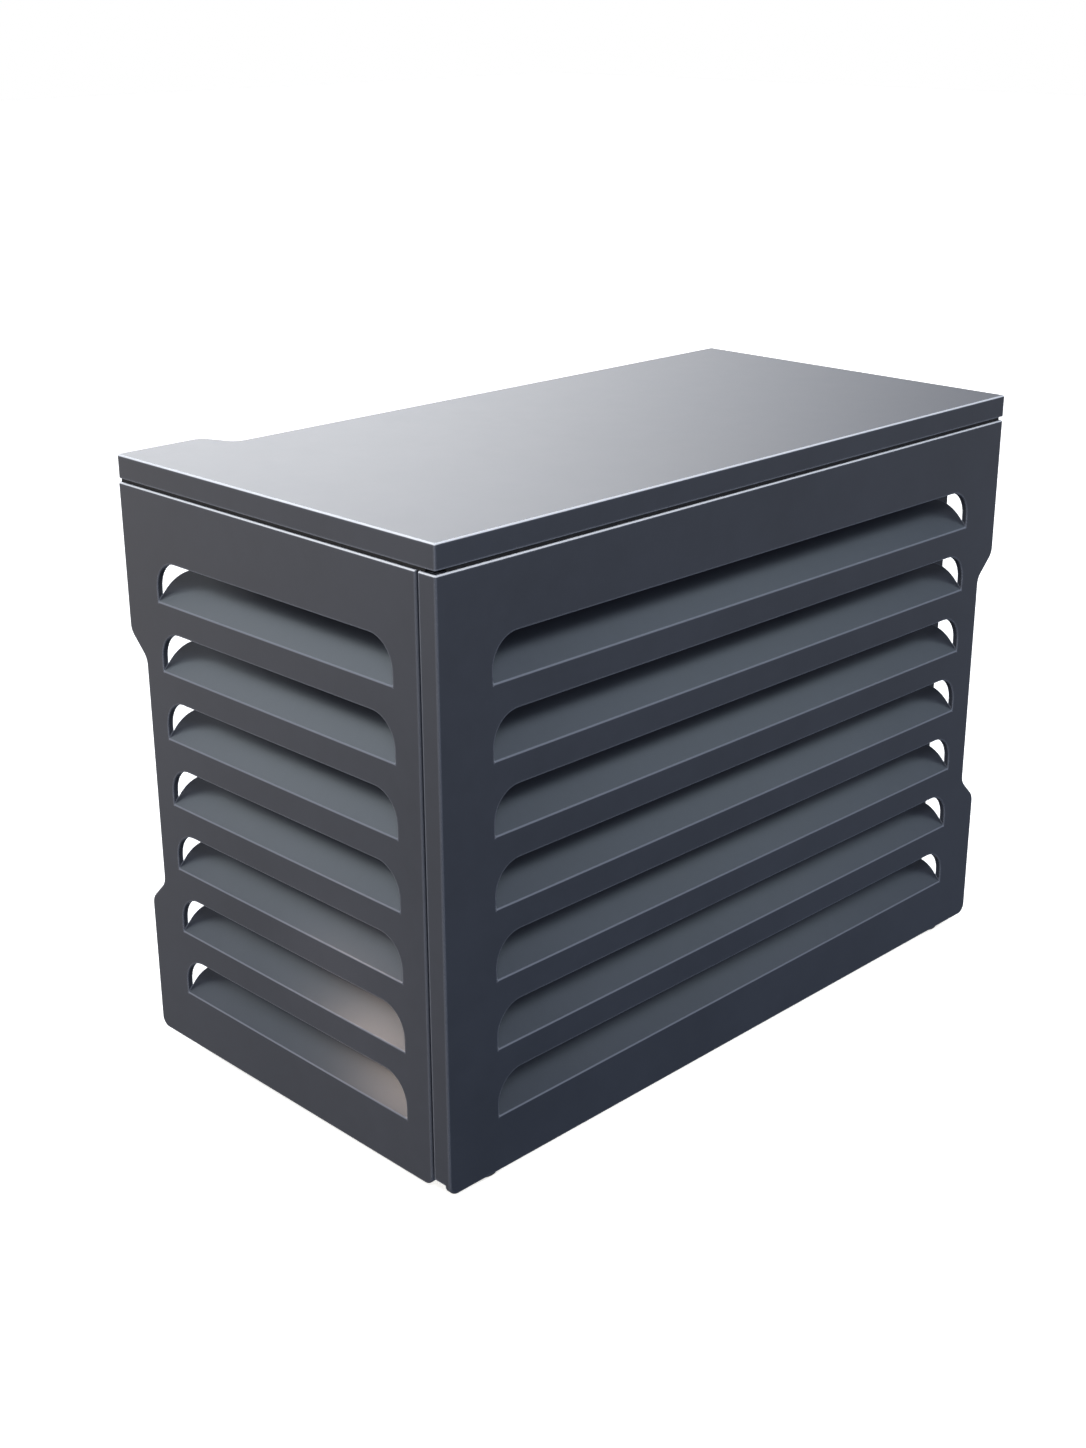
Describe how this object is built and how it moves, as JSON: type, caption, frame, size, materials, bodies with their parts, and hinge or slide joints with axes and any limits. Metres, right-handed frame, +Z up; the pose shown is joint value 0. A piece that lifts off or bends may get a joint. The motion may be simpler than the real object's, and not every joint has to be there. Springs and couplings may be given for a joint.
{
  "type": "louvred housing for a standby power unit",
  "caption": "Free-standing louvred sheet-metal housing for an outdoor power unit, open on two sides, on a tube frame with a lift-off lid, pull-off panels and levelling feet.",
  "frame": {"origin": "centre of the overall box, on the ground under the feet", "axes": "+Z up, the long louvred panel faces -Y, the short louvred panel faces -X, open towards +X and +Y"},
  "size_m": [1.1, 0.604, 0.829],
  "materials": {
    "housing_paint": "satin anthracite powder coat",
    "frame_paint": "fine-texture anthracite powder coat",
    "zinc_plate": "bright zinc plate",
    "stainless": "satin stainless steel",
    "nylon": "moulded black nylon",
    "foot_rubber": "matte black rubber"
  },
  "bodies": {
    "frame": {"corner_post": "frame_paint", "front_right_post": "frame_paint", "rear_left_post": "frame_paint", "rear_right_post": "frame_paint", "front_top_rail": "frame_paint", "rear_top_rail": "frame_paint", "left_top_rail": "frame_paint", "right_top_rail": "frame_paint", "front_bottom_rail": "frame_paint", "rear_bottom_rail": "frame_paint", "left_bottom_rail": "frame_paint", "right_bottom_rail": "frame_paint", "tube_end_caps": "nylon", "post_brackets": "zinc_plate", "rail_corner_brackets": "zinc_plate", "bracket_screws": "stainless", "front_panel_sockets": "nylon", "side_panel_sockets": "nylon", "lid_sockets": "nylon", "foot_inserts": "zinc_plate", "foot_lock_nuts": "zinc_plate", "rear_left_wall_bracket": "frame_paint", "rear_right_wall_bracket": "frame_paint", "right_front_wall_bracket": "frame_paint", "right_rear_wall_bracket": "frame_paint", "wall_bracket_screws": "stainless"},
    "front_panel": {"front_panel": "housing_paint", "front_rib_left": "frame_paint", "front_rib_right": "frame_paint", "front_panel_studs": "stainless"},
    "side_panel": {"side_panel": "housing_paint", "side_rib": "frame_paint", "side_panel_studs": "stainless"},
    "lid": {"lid": "housing_paint", "lid_channel_left": "frame_paint", "lid_channel_right": "frame_paint", "lid_pegs": "stainless"},
    "foot_front_left": {"foot_pad_front_left": "foot_rubber", "foot_stem_front_left": "zinc_plate"},
    "foot_front_right": {"foot_pad_front_right": "foot_rubber", "foot_stem_front_right": "zinc_plate"},
    "foot_rear_left": {"foot_pad_rear_left": "foot_rubber", "foot_stem_rear_left": "zinc_plate"},
    "foot_rear_right": {"foot_pad_rear_right": "foot_rubber", "foot_stem_rear_right": "zinc_plate"}
  },
  "joints": [
    {"name": "lid_lift", "type": "slide", "parent": "frame", "child": "lid", "axis": [0, 0, 1], "range_m": [0, 0.12]},
    {"name": "front_panel_pull", "type": "slide", "parent": "frame", "child": "front_panel", "axis": [0, -1, 0], "range_m": [0, 0.12]},
    {"name": "side_panel_pull", "type": "slide", "parent": "frame", "child": "side_panel", "axis": [-1, 0, 0], "range_m": [0, 0.12]},
    {"name": "foot_front_left_adjust", "type": "slide", "parent": "frame", "child": "foot_front_left", "axis": [0, 0, -1], "range_m": [0, 0.012]},
    {"name": "foot_front_right_adjust", "type": "slide", "parent": "frame", "child": "foot_front_right", "axis": [0, 0, -1], "range_m": [0, 0.012]},
    {"name": "foot_rear_left_adjust", "type": "slide", "parent": "frame", "child": "foot_rear_left", "axis": [0, 0, -1], "range_m": [0, 0.012]},
    {"name": "foot_rear_right_adjust", "type": "slide", "parent": "frame", "child": "foot_rear_right", "axis": [0, 0, -1], "range_m": [0, 0.012]}
  ]
}
